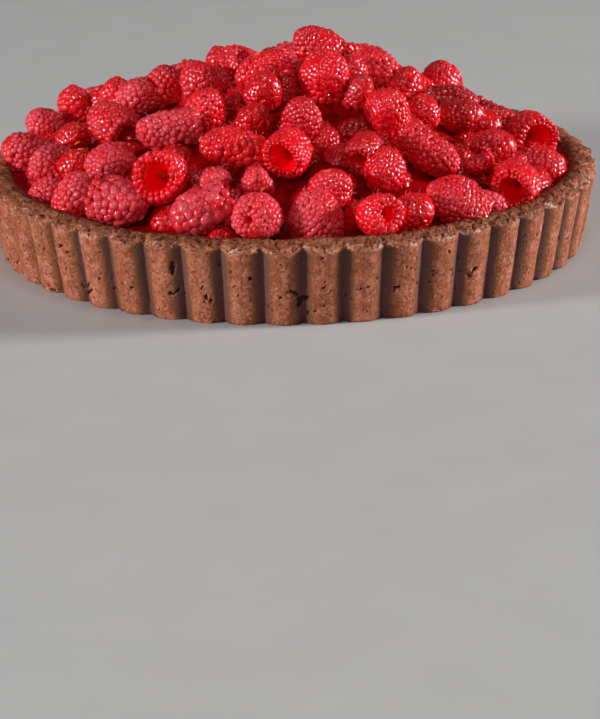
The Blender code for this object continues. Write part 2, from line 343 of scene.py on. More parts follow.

# Colours, linear
# deep red of darker berries, and painted shade in the grooves between beads
DEEP_RED_AND_SHADE = (0.52, 0.0005, 0.002)
# painted shade at the far end of an opening's cavity, and walls bright red as painted glow of light
# through the flesh
CAVITY_SHADE_RED = (0.45, 0.0003, 0.001)
HOLLOW_GLOW_RED = (0.98, 0.001, 0.006)
CLEAR_RED = (0.84, 0.001, 0.006)
FROST = (0.82, 0.120, 0.170)
JUICE_RED = (0.17, 0.001, 0.002)
THIN_JUICE_RED = (0.36, 0.0005, 0.002)
MOTTLED_RED = (0.80, 0.62, 0.62)  # this and the next multiply the colour that they mottle
MOTTLED = (0.8, 0.7, 0.7)
HAIR = (0.95, 0.34, 0.36)
PIP = (0.90, 0.13, 0.05)
PASTRY_LIGHT = (0.56, 0.180, 0.102)
PASTRY_MIDDLE = (0.33, 0.084, 0.032)
PASTRY_DARK = (0.11, 0.026, 0.009)
# painted shade in the flutes' grooves, and painted half-shade in olive beside them
PASTRY_GROOVE_SHADE = (0.115, 0.046, 0.044)
PASTRY_OLIVE_HALF_SHADE = (0.17, 0.056, 0.006)
PASTRY_RIM = (0.15, 0.044, 0.015)
PASTRY_STAIN = (0.13, 0.010, 0.004)
PASTRY_STREAK = (0.28, 0.066, 0.014)
PASTRY_BLOOM = (0.62, 0.260, 0.165)
# pale crumb specks on the rim's edge, brightened as painted highlights
PASTRY_PALE_HIGHLIGHT = (0.66, 0.42, 0.34)
# painted shade inside pits, cracks, holes and crumbs
PIT_SHADE_BLACK = (0.020, 0.004, 0.003)
FLOOR_GREYS = ((0.45, 0.447, 0.443), (0.47, 0.467, 0.463))

# Kinds of berries: height is how far the beads stand out, as a share of the most, and glaze is
# where the noise that spreads juice over them starts to count
Kind = namedtuple("Kind", "frost depth coat roughness height glaze")
KINDS = {
    "frosted": Kind(0.52, 0.15, 0.60, 0.26, 1.0, 0.05),
    "ripe": Kind(0.11, 0.25, 0.80, 0.22, 1.0, -0.10),
    "bright": Kind(0.04, 0.05, 0.90, 0.20, 0.85, -0.20),
    # deep: darker red berries, partly painted shade for berries that lie in shade
    "deep": Kind(0.02, 0.60, 0.80, 0.22, 0.60, -0.20),
    # under: the lower layer in the gaps, painted deep red as painted shade
    "under": Kind(0.00, 0.75, 0.50, 0.24, 0.50, -0.20),
}
TOP_KINDS = ("frosted", "ripe", "bright", "deep")
GROOVE_SHADE_RISE = (-0.25, 0.75)  # heights on a bead over which the painted shade of its groove fades
# the bloom is real; its rise towards each bead's top is partly painted sheen
FROST_RISE = (0.0, 0.95)
BEAD_GROOVE_SHADE = 0.2  # the least painted shade, and the least frost, at the foot of a bead
GROOVE_FROST = 0.12
BEAD_SHADES = (0.90, 1.10)
FROST_PATCHES = 130.0  # the noise's scale
PATCH_FROST = 0.72  # how far that noise changes the frost
FROST_UNEVEN = (0.04, 0.15)  # from bead to bead: always, and for each part of frost
GLAZED_FROST = 0.8  # of the frost is lost under the juice
BODY_RED = 0.4  # how far a body under the beads goes from deep to clear red; its deep red is painted shade where it shows between the beads

# Noises of the materials: their grain (scale, detail, roughness, and a share below 1 that draws
# them out upwards) and limits (where they start and end, and what they give there if not 0 and 1)
SPOTS = {
    "fruit": ((700.0,), (0.36, 0.64)),
    "juice": ((130.0,), (0.40, 0.65)),
    "juice gloss": ((300.0,), (0.3, 0.7, 0.30, 0.50)),
    "stain": ((200.0, 4.0, 0.6), (0.35, 0.60, 0.35, 0.95)),
    "baked": ((260.0,), (0.42, 0.60)),
    "baked cover": ((120.0,), (0.40, 0.60, 0.50, 0.85)),
    # pale: specks of pale crumb and painted highlight on the rim's outer edge
    "pale": ((240.0, 6.0, 0.80), (0.54, 0.60)),
    # rim holes, crumbs and holes are painted near black as painted shade
    "rim holes": ((800.0, 4.0, 0.7), (0.56, 0.62)),
    "crumbs": ((1000.0, 4.0, 0.6), (0.60, 0.68, 0.0, 0.7)),
    "holes": ((620.0, 1.0, 0.4), (0.74, 0.76)),
    "crust gloss": ((500.0,), (0.3, 0.7, 0.55, 0.80)),
    "small things": ((600.0,), (0.3, 0.7)),
    "floor": ((30.0,), (0.3, 0.7)),
}
# Colours over the crumb's middle brown, one after the other: grain, limits and colour
CRUMB_SPOTS = (
    ((260.0, 3.0, 0.6), (0.40, 0.62), PASTRY_LIGHT),
    ((60.0,), (0.45, 0.70, 0.0, 0.5), PASTRY_MIDDLE),
    ((700.0, 4.0, 0.7), (0.50, 0.62, 0.0, 0.75), PASTRY_DARK),
    ((950.0, 3.0, 0.6), (0.55, 0.66, 0.0, 0.75), PASTRY_BLOOM),
    ((300.0, 2.0, 0.5, 0.12), (0.54, 0.66, 0.0, 0.7), PASTRY_STREAK),
)
# Limits of the values that the crust's points carry, and for its stain of the radius
# The grooves' colours are painted light: olive painted half-shade beside each groove, then dark painted
# shade in it
GROOVE_SHADE_COLOURS = (((0.10, 0.30, 0.0, 0.70), PASTRY_OLIVE_HALF_SHADE), ((0.30, 0.46, 0.0, 0.85), PASTRY_GROOVE_SHADE))
STAINED = (SHOULDER_RADIUS + 0.5 * MM, CREST_RADIUS + 1.0 * MM)
BAKED_RIM = (0.45, 0.95)
RIM_HIGHLIGHT_EDGE = (0.03, 0.30)
PALE_HIGHLIGHT_FLUTES = (0.15, 0.50, 1.0, 0.2)
HOLED_RIM = (0.1, 0.4)
WHOLE_PIT = (0.30, 0.65)
# Relief: a noise's grain, then its depth and strength
FRUIT_GRAIN = (1500.0, 2.0)
FRUIT_BUMP = (0.25 * MM, 0.55)
JUICE_GRAIN = (250.0, 2.0)
JUICE_BUMP = (0.6 * MM, 0.4)
CRUST_GRAIN = (900.0, 4.0, 0.7)
CRUST_BUMP = (0.55 * MM, 0.9)
HOLE_DEPTH = 0.8  # of that grain
MOIST = 0.3  # how much less rough the pale specks of painted highlight are
GLOSS_GRAIN = 1400.0  # of the berries' gloss
GLOSS_LIMITS = (0.3, 0.7)
FRUIT_GLOSS = (-0.08, 0.10)  # around the kind's roughness

# The shader's own values
SCATTERED = (1.0, 0.12, 0.08)
BERRY_FINISH = {
    "IOR": 1.5,
    "Specular IOR Level": 0.9,
    "Specular Tint": (1.0, 0.20, 0.24, 1.0),
    "Coat Roughness": 0.06,
    "Coat IOR": 1.5,
    "Subsurface Weight": 0.15,
    "Subsurface Radius": SCATTERED,
    "Subsurface Scale": 0.4 * MM,
}
JUICE_FINISH = {
    "IOR": 1.38,
    "Specular IOR Level": 0.06,
    "Subsurface Weight": 0.4,
    "Subsurface Radius": SCATTERED,
    "Subsurface Scale": 0.5 * MM,
}

# Lights: place, size and power
LIGHTS = {
    "left": ((-2.24, -0.92, 0.68), 0.44, 57.0),
    "right": ((2.42, 0.0, 0.68), 0.44, 83.0),
    "front": ((-0.30, -2.30, 1.66), 0.90, 13.0),
}
LIT_POINT = (0, 0, 0.04)
SUN_POWER = 0.4
SUN_ANGLE = math.radians(17)
SUN_WAY = (-0.07, 0.07, -1)
WORLD_COLOUR = (1.0, 0.95, 0.93, 1.0)
WORLD_STRENGTH = 0.07
FLOOR_HALF = 20.0


# --- camera


def camera_pose():
    """The camera's place and turn, which put the middle of the base at its pixel."""
    lean = Quaternion((0, 1, 0), CAMERA_LEAN)
    back = Vector((0, -math.cos(CAMERA_ELEVATION), math.sin(CAMERA_ELEVATION)))
    turn = pixel_direction(*BASE_CENTRE_PIXEL).rotation_difference(Vector((0, 0, -1)))
    return lean @ (back * CAMERA_DISTANCE), lean @ (-back).to_track_quat("-Z", "Y") @ turn


def pixel_direction(across, down):
    """The way to a pixel in the camera's own axes."""
    right = (across - PHOTO_WIDTH / 2) / FOCAL_PIXELS
    up = (PHOTO_HEIGHT / 2 - down) / FOCAL_PIXELS
    return Vector((right, up, -1))


def pixel_ray(across, down):
    """Where the ray through a pixel starts, and its way of length 1."""
    start, turn = camera_pose()
    return np.array(start), np.array((turn @ pixel_direction(across, down)).normalized())


def to_pixel(point):
    """Where the photograph shows a point: across and down."""
    start, turn = camera_pose()
    right, up, back = turn.inverted() @ (Vector(point) - start)
    return PHOTO_WIDTH / 2 - FOCAL_PIXELS * right / back, PHOTO_HEIGHT / 2 + FOCAL_PIXELS * up / back


def along_ray(across, down, depth_at):
    """The first point of a pixel's ray where depth_at(points) is below 0, or where it is least."""
    start, way = pixel_ray(across, down)
    reach = np.linspace(CAMERA_DISTANCE - RAY_REACH, CAMERA_DISTANCE + RAY_REACH, RAY_STEPS)
    points = start + reach[:, None] * way
    above = depth_at(points)
    crossed = np.nonzero(above < 0)[0]
    return points[crossed[0] if len(crossed) else above.argmin()]


def picture_axes():
    """Right, up and towards the viewer in the picture."""
    _, turn = camera_pose()
    return [turn @ Vector(axis) for axis in ((1, 0, 0), (0, 1, 0), (0, 0, 1))]


def way_in_picture(degrees, right, up):
    """The way at an angle from the picture's right towards its top."""
    angle = math.radians(degrees)
    return math.cos(angle) * right + math.sin(angle) * up


def add_object(name, data):
    """A new object of the scene."""
    added = bpy.data.objects.new(name, data)
    bpy.context.collection.objects.link(added)
    return added


def add_camera():
    """The photograph's camera."""
    data = bpy.data.cameras.new("camera")
    data.sensor_width = SENSOR
    data.lens = SENSOR * FOCAL_PIXELS / PHOTO_HEIGHT
    camera = add_object("camera", data)
    camera.rotation_mode = "QUATERNION"
    camera.location, camera.rotation_quaternion = camera_pose()
    bpy.context.scene.camera = camera


# --- meshes


def grid_triangles(rows, columns):
    """Triangles of a grid of rows whose columns close on themselves."""
    row, column = np.meshgrid(np.arange(rows - 1), np.arange(columns), indexing="ij")
    a = row * columns + column
    b = row * columns + (column + 1) % columns
    c, d = a + columns, b + columns
    return np.concatenate([np.stack([a, b, d], -1), np.stack([a, d, c], -1)]).reshape(-1, 3)


def points_around(radius, angle, height):
    """Points around the tart's axis, at angles from the front towards the right."""
    parts = (radius * np.sin(angle), -radius * np.cos(angle), height)
    return np.stack(np.broadcast_arrays(*parts), -1)


def between(low, high, share):
    """The value at a share of the way from low to high."""
    return low + (high - low) * share


def mix(a, b, share):
    """Colours between a and b."""
    share = np.asarray(share)[..., None]
    return np.asarray(a) * (1 - share) + np.asarray(b) * share


def smooth_step(value, low, high):
    """0 below low, 1 above high, and smooth between."""
    share = np.clip((value - low) / (high - low), 0, 1)
    return share * share * (3 - 2 * share)


def unit(vector):
    """The vector at length 1."""
    return vector / np.linalg.norm(vector)


def turns(count):
    """Even steps of a full turn, in radians."""
    return 2 * math.pi * np.arange(count) / count


def noise_at(points, scale):
    """Smooth noise from -1 to 1 at each point."""
    return np.array([noise.noise(Vector(p)) for p in points * scale])


def add_piece(name, points, triangles, material, tones=None):
    """A mesh piece that rides on the tart. tones are three values for each point."""
    mesh = bpy.data.meshes.new(name)
    mesh.vertices.add(len(points))
    mesh.vertices.foreach_set("co", np.asarray(points, np.float32).ravel())
    mesh.loops.add(triangles.size)
    mesh.loops.foreach_set("vertex_index", np.asarray(triangles, np.int32).ravel())
    mesh.polygons.add(len(triangles))
    mesh.polygons.foreach_set("loop_start", np.arange(0, triangles.size, 3, dtype=np.int32))
    mesh.update(calc_edges=True)
    if tones is not None:
        layer = mesh.color_attributes.new("tone", "FLOAT_COLOR", "POINT")
        rgba = np.column_stack([tones, np.ones(len(points))])
        layer.data.foreach_set("color", np.asarray(rgba, np.float32).ravel())
    mesh.shade_smooth()
    mesh.materials.append(material)
    piece = add_object(name, mesh)
    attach(piece, "root")
    return piece


def add_joined(name, meshes, material):
    """One piece of fruit from many meshes, each with its points, triangles and tones."""
    points, triangles, tones = zip(*meshes)
    starts = np.cumsum([0, *(len(part) for part in points)])
    triangles = np.concatenate([part + start for part, start in zip(triangles, starts)])
    add_piece(name, np.concatenate(points), triangles, material, np.concatenate(tones))


# --- where the berries lie


def mound_height(x, y):
    """The surface that the top berries' centres lie on."""
    out = np.minimum(np.hypot(x, y) / OUTER_BERRIES, HEAP_REACH)
    height = OUTER_CENTRES + (TOP_CENTRES - OUTER_CENTRES) * (1 - out**HEAP_CURVE)
    for across, back, rise, width in SHOULDERS:
        height = height + rise * np.exp(-((x - across) ** 2 + (y - back) ** 2) / (2 * width**2))
    return height


def mound_normal(x, y):
    """The way out of that surface."""
    step = 1.0 * MM
    slope_x = (mound_height(x + step, y) - mound_height(x - step, y)) / (2 * step)
    slope_y = (mound_height(x, y + step) - mound_height(x, y - step)) / (2 * step)
    return Vector((-slope_x, -slope_y, 1.0)).normalized()


def above_outline(place, radius):
    """How far a berry stands above the heap's outline in the photograph, in metres."""
    across, down = to_pixel(place)
    tops = down - radius / PIXEL * np.sqrt(1 - OUTLINE_SHARES**2)
    outline = np.interp(across + radius / PIXEL * OUTLINE_SHARES, *np.array(OUTLINE).T)
    return max(float((outline - tops).max()) * PIXEL, 0.0)


def dip_table():
    """How far berries on a grid of places must be lowered to stay below the outline."""
    table = np.zeros((len(DIP_PLACES), len(DIP_PLACES)))
    for i, x in enumerate(DIP_PLACES):
        for j, y in enumerate(DIP_PLACES):
            if y > 0 and math.hypot(x, y) < OUTER_BERRIES + 2 * DIP_STEP:
                table[i, j] = above_outline((x, y, float(mound_height(x, y))), DIP_RADIUS)
    for _ in range(DIP_ROUNDS):
        table = np.array([np.convolve(row, DIP_EVENING, "same") for row in table]).T
    return table


DIPS = dip_table()


def dip(x, y):
    """How far the heap behind its crest lies below the even mound."""
    across, back = (np.clip((np.asarray(v) - DIP_PLACES[0]) / DIP_STEP, 0, LAST_DIP) for v in (x, y))
    i, j = across.astype(int), back.astype(int)
    u, v = across - i, back - j
    near = DIPS[i, j] * (1 - u) + DIPS[i + 1, j] * u
    far = DIPS[i, j + 1] * (1 - u) + DIPS[i + 1, j + 1] * u
    return (near * (1 - v) + far * v) * smooth_step(y, *CREST)


def core_height(x, y):
    """The juicy fruit under the berries, which meets the wall at its own height."""
    from_wall = JUICE_HEIGHT + CORE_SLOPE * (WALL_RADIUS - np.hypot(x, y))
    return np.minimum(mound_height(x, y) - dip(x, y) - CORE_SUNK, from_wall)


def on_mound(across, down):
    """The point of the mound that a pixel of the photograph shows."""

    def above(points):
        x, y, z = points.T
        outside = np.maximum(np.hypot(x, y) - OUTER_BERRIES - WALL_GAP, 0)
        return z - mound_height(x, y) + OUTSIDE_COST * outside

    return along_ray(across, down, above)


class Berry:
    """One raspberry: its middle, the way its tip points, its sizes and its kind."""

    def __init__(self, place, tip, width, length, bead, kind, hollow, rng):
        self.place = np.array(place)
        self.width, self.length, self.bead, self.hollow = width, length, bead, hollow
        self.kind = kind
        self.frost = float(np.clip(KINDS[kind].frost + rng.normal(0, FROST_SPREAD), 0, 1))
        self.shade = float(rng.uniform(*SHADES))
        self.point = float(rng.uniform(*BLUNTNESS))
        self.bend = float(rng.uniform(*BENDS))
        self.swell = rng.uniform(0, 2 * math.pi, 2)
        turn = Vector(tip).to_track_quat("Z", "Y")
        spin = Quaternion((0, 0, 1), rng.uniform(0, 2 * math.pi))
        self.axes = np.array((turn @ spin).to_matrix())
        self.squash = np.array([*(rng.uniform(*limits) for limits in SQUASHES), 1.0])

    def to_world(self, points):
        """From the berry's own axes, with its tip towards +Z."""
        bent = points * self.squash
        bent[:, 0] += self.bend * (points[:, 2] ** 2) / self.length
        return self.place + bent @ self.axes.T

    def unit_axes(self):
        """The turn into axes where the berry is a ball of radius 1."""
        half = np.array((self.width, self.width, self.length)) / 2 * self.squash
        return self.axes / half

    def radius(self, share):
        """Its radius at a share of its length from the opening."""
        share = np.asarray(share, float)
        mouth = min(WIDEST_MOUTH, (self.hollow + MOUTH_ROOM * self.bead) / self.width * 2)
        below = 1 - (1 - mouth) * np.abs((WIDEST - share) / WIDEST) ** MOUTH_CURVE
        up = np.clip((share - WIDEST) / (1 - WIDEST), 0, 1)
        above = np.sqrt(np.maximum(1 - up**self.point, 0))
        return self.width / 2 * np.where(share < WIDEST, below, above)

    def uneven(self, angle):
        """How much wider it is than round, at an angle."""
        waves = zip(SWELLS, self.swell)
        return sum((size * np.cos(count * angle + start) for (count, size), start in waves), 1)


def seen_berries(rng):
    """The berries that the photograph shows."""
    right, up, back = picture_axes()
    berries = []
    for s in (Seen(*row) for row in SEEN):
        lean = math.radians(s.toward)
        tip = math.cos(lean) * way_in_picture(s.turn, right, up) + math.sin(lean) * back
        sizes = (s.width * MM, s.length * MM, s.bead * MM)
        place = on_mound(s.across, s.down) + (OPENING_LIFT if s.toward < 0 else 0.0) * np.array(back)
        berries.append(Berry(place, tip, *sizes, s.kind, s.hollow * MM, rng))
    return berries


def room_around(place, berries):
    """The least distance from a place to a berry's middle, in that berry's half widths."""
    return min(np.linalg.norm(place - b.place) / b.width * 2 for b in berries)


def tried_places(rng):
    """Places in rings, from the wall inwards."""
    radius = OUTER_BERRIES
    while radius > 0:
        count = max(int(2 * math.pi * radius / SPACING), 1)
        for i in range(count):
            angle = 2 * math.pi * (i + rng.uniform(0, 1)) / count
            x = radius * math.sin(angle) + rng.uniform(-JITTER, JITTER)
            y = -radius * math.cos(angle) + rng.uniform(-JITTER, JITTER)
            if math.hypot(x, y) < OUTER_BERRIES + JITTER / 2:
                yield x, y
        radius -= SPACING


def fill_with_berries(berries, sunk, clearance, kinds, clear_of, rng):
    """Adds berries wherever there is room, sunk below the top layer and behind its outline."""
    for x, y in tried_places(rng):
        if sunk == 0 and y < SEEN_REACH:
            continue
        width = rng.uniform(*WIDTHS)
        height = float(mound_height(x, y) - dip(x, y)) - sunk + rng.uniform(-1, 1) * JITTER / 2
        place = np.array((x, y, height))
        place[2] -= above_outline(place, width / 2 + OUTLINE_ROOM)
        near_gap = any(np.linalg.norm(place - gap) < GAP_RADIUS for gap in clear_of)
        if near_gap or room_around(place, berries) < 2 * clearance:
            continue
        tip = mound_normal(x, y) * (rng.choice(TIP_SIDES) if sunk == 0 else 1)
        tip = tip + Vector(rng.uniform(-1, 1, 3)) * TIP_SPREAD
        length, hollow = width * rng.uniform(*LENGTHS), width * rng.uniform(*HOLLOWS)
        kind = str(rng.choice(kinds))
        berries.append(Berry(place, tip, width, length, rng.uniform(*BEADS), kind, hollow, rng))


def all_berries(rng):
    """The seen berries, the rest of the top layer, and a lower layer that shows in the gaps."""
    berries = seen_berries(rng)
    gaps = [on_mound(*gap) for gap in GAPS]
    fill_with_berries(berries, 0.0, CLEARANCE, TOP_KINDS, [], rng)
    fill_with_berries(berries, UNDER_SUNK, UNDER_CLEARANCE, ("under",), gaps, rng)
    return berries


# --- berries


def unit_bead(sides, rings):
    """A dome of radius 1 with its pole towards +Z, and its triangles."""
    points = [(0.0, 0.0, 1.0)]
    for polar in np.radians(rings):
        flat = math.sin(polar)
        for angle in turns(sides):
            points.append((flat * math.cos(angle), flat * math.sin(angle), math.cos(polar)))
    fan = [(0, 1 + k, 1 + (k + 1) % sides) for k in range(sides)]
    bands = grid_triangles(len(rings), sides)[:, ::-1] + 1
    return np.array(points), np.concatenate([np.array(fan), bands])


def side_profile(berry):
    """Along a berry's side from its opening: the way gone, radius, height and their slopes."""
    share = np.linspace(0, 1, PROFILE_STEPS)
    radius, height = berry.radius(share), (share - 0.5) * berry.length
    along = np.concatenate([[0], np.cumsum(np.hypot(np.diff(radius), np.diff(height)))])
    return along, radius, height, np.gradient(radius, along), np.gradient(height, along)


def spread_beads(berry, rng):
    """Places of the beads on a berry's side, as the way along it and the angle, and their sizes."""
    along, radius, height, run, rise = side_profile(berry)
    ring = math.pi * (radius[1:] + radius[:-1]) * np.diff(along)
    area = np.concatenate([[0], np.cumsum(ring)])
    count = max(round(area[-1] / (BEAD_AREA * berry.bead**2)), BEAD_COUNT)
    place = np.interp((np.arange(count) + 0.5) / count * area[-1], area, along)
    angle = GOLDEN_TURN * np.arange(count) + rng.normal(0, SCATTER, count)
    place += rng.normal(0, SCATTER * berry.bead, count)
    size = rng.uniform(1 - BEAD_UNEVEN, 1 + BEAD_UNEVEN, count)
    wanted = berry.bead * (size[:, None] + size[None]) / 2
    for _ in range(PUSHES):
        place = np.clip(place, SIDE_START * berry.bead, along[-1] - TIP_GAP * berry.bead)
        r = np.maximum(np.interp(place, along, radius), LEAST_RADIUS * berry.bead)
        out = np.stack([np.cos(angle), np.sin(angle)], -1)
        points = np.column_stack([out * r[:, None], np.interp(place, along, height)])
        away = points[:, None] - points[None]
        apart = np.linalg.norm(away, axis=2) + np.eye(count)
        push = PUSH * np.clip(wanted - apart, 0, None) / apart
        np.fill_diagonal(push, 0)
        move = (away * push[..., None]).sum(1)
        outward = (move[:, :2] * out).sum(1)
        sideways = move[:, 1] * out[:, 0] - move[:, 0] * out[:, 1]
        slope, climb = np.interp(place, along, run), np.interp(place, along, rise)
        place = place + outward * slope + move[:, 2] * climb
        angle = angle + np.clip(sideways / r, -MOST_TURN, MOST_TURN)
    return np.clip(place, SIDE_START * berry.bead, along[-1]), angle, size


def bead_frames(radius, height, angle, lean):
    """Middles, and axes (around, along, out), of beads whose way out leans from the tip's way."""
    zero = np.zeros(len(angle))
    around = np.stack([-np.sin(angle), np.cos(angle), zero], -1)
    out = np.stack([np.cos(angle), np.sin(angle), zero], -1)
    normal = np.sin(lean)[:, None] * out + np.cos(lean)[:, None] * TIP_WAY
    middles = out * radius[:, None] + height[:, None] * TIP_WAY
    return middles, np.stack([around, np.cross(normal, around), normal], 1)


def glazed(points, kind):
    """How far juice covers the beads there, from 0 to 1."""
    start = KINDS[kind].glaze
    return smooth_step(noise_at(points, GLAZE_SCALE), start, start + GLAZE_FADE)


def side_beads(berry, rng):
    """The beads on a berry's side and tip: middles, axes and half sizes."""
    bead = berry.bead
    along, radius, height, run, rise = side_profile(berry)
    place, angle, size = spread_beads(berry, rng)
    slope, climb = np.interp(place, along, run), np.interp(place, along, rise)
    lean = np.arctan2(climb, -slope)
    inset = BEAD_INSET * bead
    r = np.interp(place, along, radius) * berry.uneven(angle) - inset * np.sin(lean)
    z = np.interp(place, along, height) - inset * np.cos(lean)
    count = len(angle)
    middles, axes = bead_frames(r, z, angle, lean + rng.normal(0, BEAD_LEAN, count))
    twist = rng.uniform(0, math.pi, count)[:, None]
    around, beside = axes[:, 0].copy(), axes[:, 1].copy()
    axes[:, 0] = np.cos(twist) * around + np.sin(twist) * beside
    axes[:, 1] = np.cos(twist) * beside - np.sin(twist) * around
    stretch = rng.uniform(*BEAD_STRETCH, count)
    half = OVERLAP * bead / 2 * size
    low = 1 - GLAZE_SINK * glazed(berry.to_world(middles), berry.kind)
    out = BEAD_HEIGHT * KINDS[berry.kind].height * bead * size * low
    return middles, axes, np.column_stack([half * stretch, half / stretch, out])


def ring_of_beads(berry, radius, reach, width, rng):
    """A ring of beads around a berry's opening: middles, axes and half sizes."""
    bead = berry.bead
    (rise, spread), (half_width, half_height) = RING_HEIGHT, RING_HALF
    count = round(2 * math.pi * radius / (bead * width))
    angle = 2 * math.pi * (np.arange(count) + rng.uniform(-RING_TURN, RING_TURN, count)) / count
    radii = radius * berry.uneven(angle) + rng.uniform(-RING_SHIFT, RING_SHIFT, count) * bead
    height = np.full(count, rise * bead - berry.length / 2) + rng.uniform(-spread, spread, count) * bead
    middles, axes = bead_frames(radii, height, angle, np.full(count, MOUTH_LEAN))
    size = rng.uniform(*RING_SIZES, count)
    sizes = [half_width * width * bead * size, reach * size, half_height * bead * size]
    return middles, axes, np.column_stack(sizes)


def mouth_beads(berry, rng):
    """The small beads around a berry's opening, and the long ones that curl over towards them."""
    bead = berry.bead
    outer, lip = float(berry.radius(0.0)), berry.hollow + LIP_OUT * bead
    middle, reach = (outer + lip) / 2 + RING_OVERLAP * bead, (outer - lip) / 2 + RING_OVERLAP * bead
    lip_beads = ring_of_beads(berry, lip, LIP_REACH * bead, LIP_BEADS, rng)
    long_beads = ring_of_beads(berry, middle, reach, MOUTH_BEADS, rng)
    return [np.concatenate(both) for both in zip(lip_beads, long_beads)]


def berry_beads(berry, rng):
    """All of a berry's beads in its own axes: middles, axes and half sizes."""
    return [np.concatenate(both) for both in zip(mouth_beads(berry, rng), side_beads(berry, rng))]


def berry_body(berry):
    """The body under the beads, with the smooth cavity inside the opening, and its colours: painted shade
    at the cavity's end and painted glow on its walls.
    """
    inset = BODY_INSET * berry.bead
    profile = [(berry.hollow * out, -berry.length / 2 + berry.length * deep) for out, deep in CAVITY]
    for share in BODY_SHARES:
        radius = max(float(berry.radius(share)) - inset, LEAST_BODY * berry.bead)
        profile.append((radius, (share - 0.5) * (berry.length - 2 * inset)))
    profile.append((0.0, berry.length / 2 - inset))
    angle = turns(BODY_SIDES)
    radius, height = np.array(profile).T[..., None]
    radius = radius * berry.uneven(angle)
    parts = (radius * np.cos(angle), radius * np.sin(angle), height)
    points = np.stack(np.broadcast_arrays(*parts), -1).reshape(-1, 3)
    rows = np.repeat(np.arange(len(profile)), BODY_SIDES)
    cavity = mix(HOLLOW_GLOW_RED, CAVITY_SHADE_RED, np.clip(1 - rows / DEEP_ROWS, 0, 1))
    tones = np.where(rows[:, None] >= len(CAVITY), mix(DEEP_RED_AND_SHADE, CLEAR_RED, BODY_RED), cavity)
    return points, grid_triangles(len(profile), BODY_SIDES), tones * berry.shade


def view_directions():
    """Ways from which the tart is looked at."""
    ways = [(0.0, 0.0, 1.0)]
    for elevation in np.radians(LOOK_ELEVATIONS):
        flat = math.cos(elevation)
        for angle in turns(LOOK_AROUND):
            ways.append((flat * math.sin(angle), flat * math.cos(angle), math.sin(elevation)))
    return np.array(ways)


def showing(tops, normals, berry, berries, ways):
    """True for each bead that some way of looking reaches past the other berries."""
    open_ways = normals @ ways.T > LEAST_FACING
    for other in berries:
        apart = np.linalg.norm(other.place - berry.place)
        if other is berry or apart > HIDING_REACH:
            continue
        turn = other.unit_axes()
        start = (tops - other.place) @ turn / HIDING_SIZE
        step = ways @ turn / HIDING_SIZE
        a = (step**2).sum(1)[None]
        b = start @ step.T
        c = (start**2).sum(1)[:, None] - 1
        reaches = b**2 - a * c
        hit = (reaches > 0) & (-b + np.sqrt(np.maximum(reaches, 0)) > 0)
        open_ways &= ~hit
    above_core = tops[:, 2] > core_height(tops[:, 0], tops[:, 1]) - CORE_COVER
    return (open_ways.sum(1) >= FEWEST_WAYS) & above_core


def shown_beads(berry, berries, ways, rng):
    """A berry's beads that show: middles, axes, half sizes, roots, tops and the ways out."""
    middles, axes, sizes = berry_beads(berry, rng)
    roots = berry.to_world(middles)
    tops = berry.to_world(middles + axes[:, 2] * sizes[:, 2:3])
    normals = tops - roots
    normals /= np.linalg.norm(normals, axis=1, keepdims=True)
    show = showing(tops, normals, berry, berries, ways)
    return [part[show] for part in (middles, axes, sizes, roots, tops, normals)]


def bead_tones(berry, dome, roots, rng):
    """Colours of the domes' points: painted shade deep in the grooves, red above, with bloom on top that
    is partly painted sheen.
    """
    count = len(roots)
    depth = KINDS[berry.kind].depth
    high = smooth_step(dome[:, 2], *GROOVE_SHADE_RISE)[None, :]
    shade = berry.shade * rng.uniform(*BEAD_SHADES, (count, 1, 1))
    groove_shade_red = mix(CLEAR_RED, DEEP_RED_AND_SHADE, between(BEAD_GROOVE_SHADE, 1, depth))
    red = mix(groove_shade_red, mix(CLEAR_RED, DEEP_RED_AND_SHADE, depth), high) * shade
    always, more = FROST_UNEVEN
    frost = berry.frost * (1 + PATCH_FROST * noise_at(roots, FROST_PATCHES))
    frost += rng.normal(0, always + more * berry.frost, count)
    frost = np.clip(frost * (1 - GLAZED_FROST * glazed(roots, berry.kind)), 0, 1)
    # cover: real bloom, paler towards each bead's top as painted sheen
    cover = frost[:, None] * between(GROOVE_FROST, 1, smooth_step(dome[:, 2], *FROST_RISE))
    return mix(red, FROST, cover).reshape(-1, 3)


def berry_meshes(berry, middles, axes, sizes, roots, rng):
    """A berry's body and its beads, each with its points, triangles and tones."""
    body, *body_looks = berry_body(berry)
    dome, dome_triangles = unit_bead(*(FINE_BEAD if berry.bead >= FINE_FROM else COARSE_BEAD))
    uneven = dome * (1 + rng.normal(0, BEAD_DENTS, (len(middles), len(dome), 1)))
    local = np.einsum("nvk,nkj->nvj", uneven * sizes[:, None, :], axes) + middles[:, None]
    offsets = np.arange(len(middles)) * len(dome)
    triangles = (dome_triangles + offsets[:, None, None]).reshape(-1, 3)
    beads = (berry.to_world(local.reshape(-1, 3)), triangles, bead_tones(berry, dome, roots, rng))
    return (berry.to_world(body), *body_looks), beads


def add_berries(berries, rng):
    """One piece for each kind of berry. Returns the kept berries with their beads' tops."""
    meshes = {kind: [] for kind in KINDS}
    ways = view_directions()
    kept = []
    for berry in berries:
        *shapes, tops, normals = shown_beads(berry, berries, ways, rng)
        if len(tops) >= FEWEST_BEADS:
            kept.append((berry, tops, normals))
            meshes[berry.kind] += berry_meshes(berry, *shapes, rng)
    for kind, parts in meshes.items():
        add_joined(f"raspberries_{kind}", parts, berry_material(kind))
    return kept


